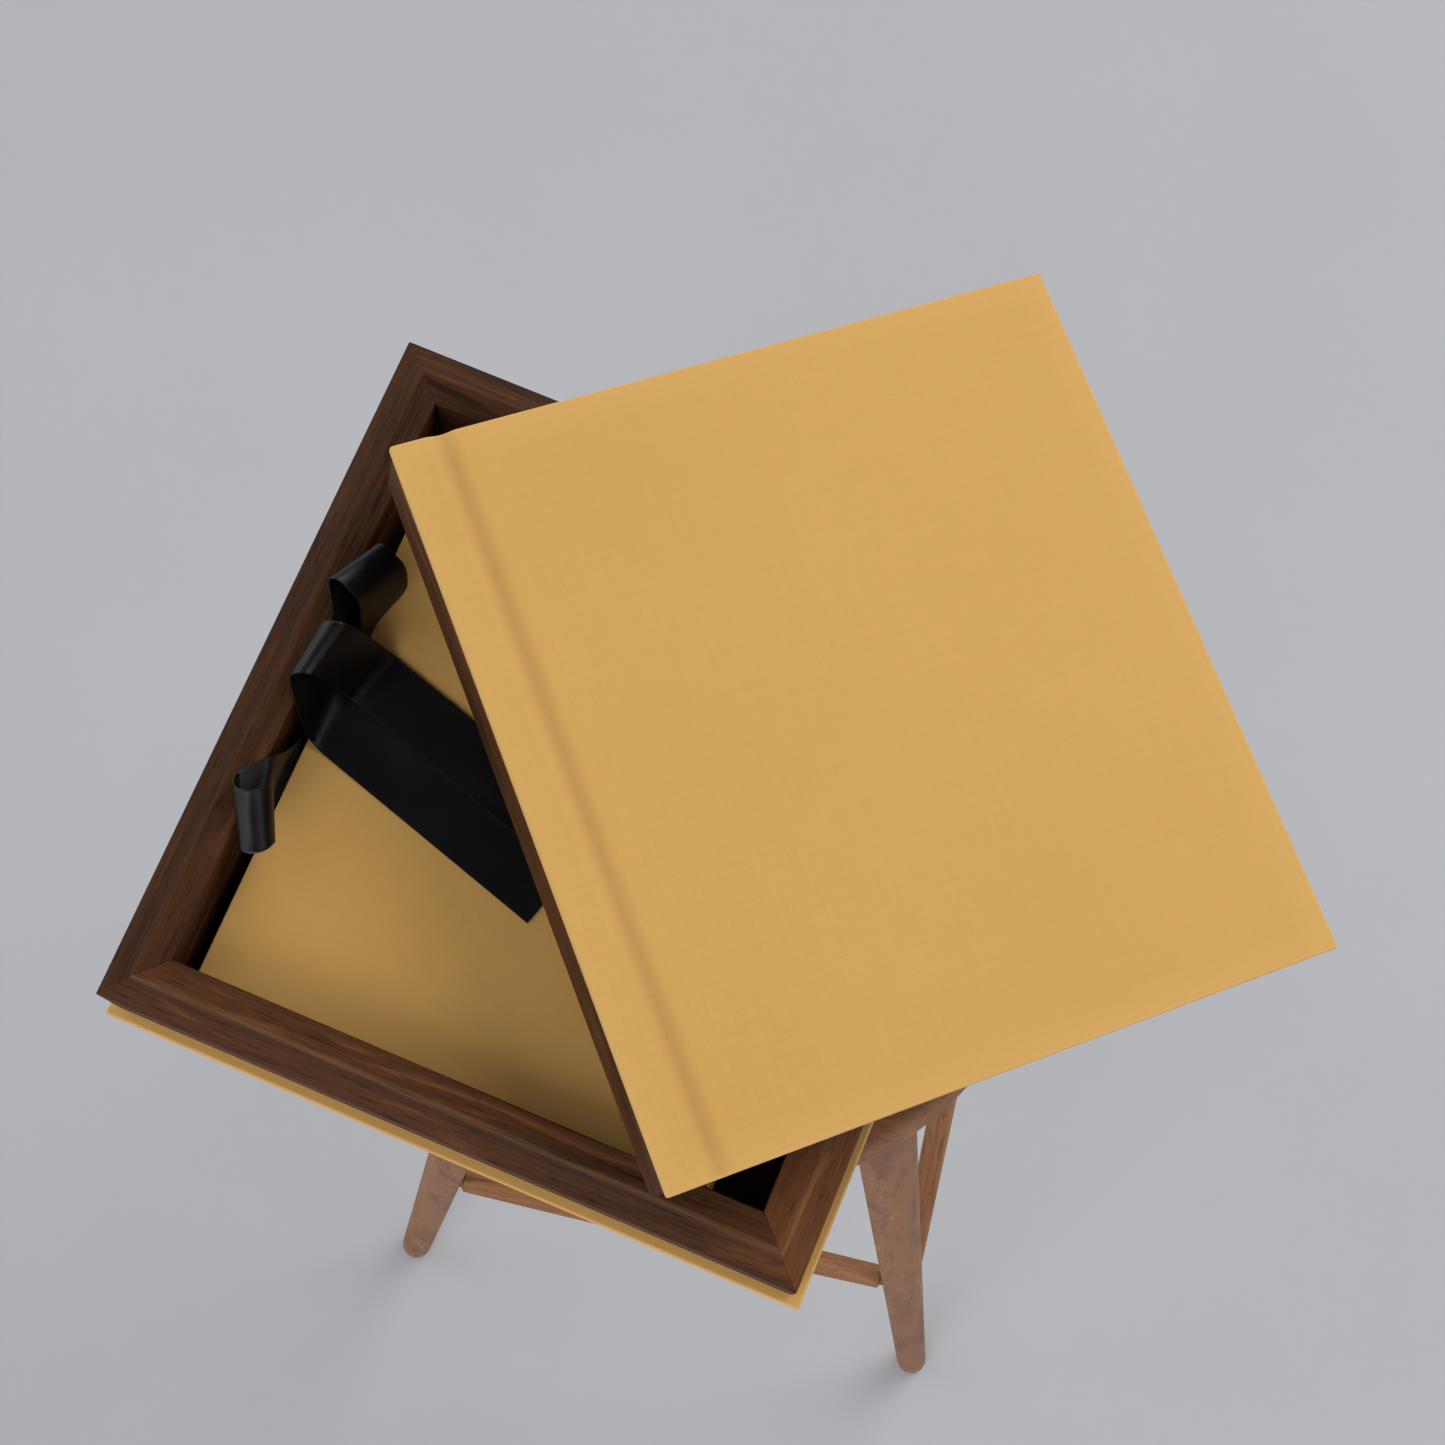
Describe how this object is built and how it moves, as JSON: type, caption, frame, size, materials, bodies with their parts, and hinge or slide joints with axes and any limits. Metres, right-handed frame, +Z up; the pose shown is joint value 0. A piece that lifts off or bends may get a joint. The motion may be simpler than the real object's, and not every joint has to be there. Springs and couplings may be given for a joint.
{
  "type": "photo album box on a stool stand",
  "caption": "Square photo album in a cloth and walnut tray with its framed lid set askew, a black ribbon round the album, all standing on a tall round wooden stool.",
  "frame": {"origin": "middle of the whole object's footprint, on the floor under the stool's feet", "axes": "+Z up; +X and +Y along the tray's sides, +X toward the album's spine and +Y toward the tray's far rail"},
  "size_m": [0.4988, 0.5398, 0.8979],
  "materials": {
    "mustard_cloth": "matte fine-woven book cloth",
    "walnut": "oiled, low sheen",
    "spline_wood": "bare, matte",
    "stool_wood": "stained, satin",
    "satin_ribbon": "black satin",
    "dark_lining": "matte dark lining",
    "paper": "uncoated card and paper, matte"
  },
  "bodies": {
    "stool": {"stool_seat": "stool_wood", "stool_leg_front_left": "stool_wood", "stool_leg_front_right": "stool_wood", "stool_leg_back_right": "stool_wood", "stool_leg_back_left": "stool_wood", "stool_stretcher_front": "stool_wood", "stool_stretcher_right": "stool_wood", "stool_stretcher_back": "stool_wood", "stool_stretcher_left": "stool_wood"},
    "tray": {"tray_base_board": "mustard_cloth", "tray_rail_front": "walnut", "tray_rail_right": "walnut", "tray_rail_back": "walnut", "tray_rail_left": "walnut", "tray_mitre_spline_front_left": "spline_wood", "tray_mitre_spline_front_right": "spline_wood", "tray_mitre_spline_back_right": "spline_wood", "tray_mitre_spline_back_left": "spline_wood", "tray_floor_lining": "dark_lining"},
    "album": {"album_back_cover": "mustard_cloth", "album_back_joint": "mustard_cloth", "album_front_joint": "mustard_cloth", "album_spine": "mustard_cloth", "album_page_block": "paper", "album_back_endpaper": "paper"},
    "album_cover": {"album_front_cover": "mustard_cloth", "album_front_endpaper": "paper", "ribbon_upper_tail": "satin_ribbon", "ribbon_main_loop": "satin_ribbon", "ribbon_lower_tail": "satin_ribbon", "ribbon_upper_loop": "satin_ribbon", "ribbon_small_curl": "satin_ribbon"},
    "lid": {"lid_board": "mustard_cloth", "lid_rail_front": "walnut", "lid_rail_right": "walnut", "lid_rail_back": "walnut", "lid_rail_left": "walnut", "lid_mitre_spline_front_left": "spline_wood", "lid_mitre_spline_front_right": "spline_wood", "lid_mitre_spline_back_right": "spline_wood", "lid_mitre_spline_back_left": "spline_wood"}
  },
  "joints": [
    {"name": "tray_lift", "type": "slide", "parent": "stool", "child": "tray", "axis": [0, 0, 1], "range_m": [0, 0.15]},
    {"name": "lid_lift", "type": "slide", "parent": "tray", "child": "lid", "axis": [0, 0, 1], "range_m": [0, 0.5]},
    {"name": "album_lift", "type": "slide", "parent": "tray", "child": "album", "axis": [0, 0, 1], "range_m": [0, 0.06]},
    {"name": "album_cover_hinge", "type": "hinge", "parent": "album", "child": "album_cover", "pos_m": [0.02413, -0.0582, 0.8188], "axis": [0, 1, 0], "range_deg": [0, 70]}
  ],
  "couplings": [
    {"joint": "album_lift", "follows": "lid_lift", "ratio": 0.12},
    {"joint": "album_cover_hinge", "follows": "lid_lift", "rad_per_m": 2.4435}
  ]
}
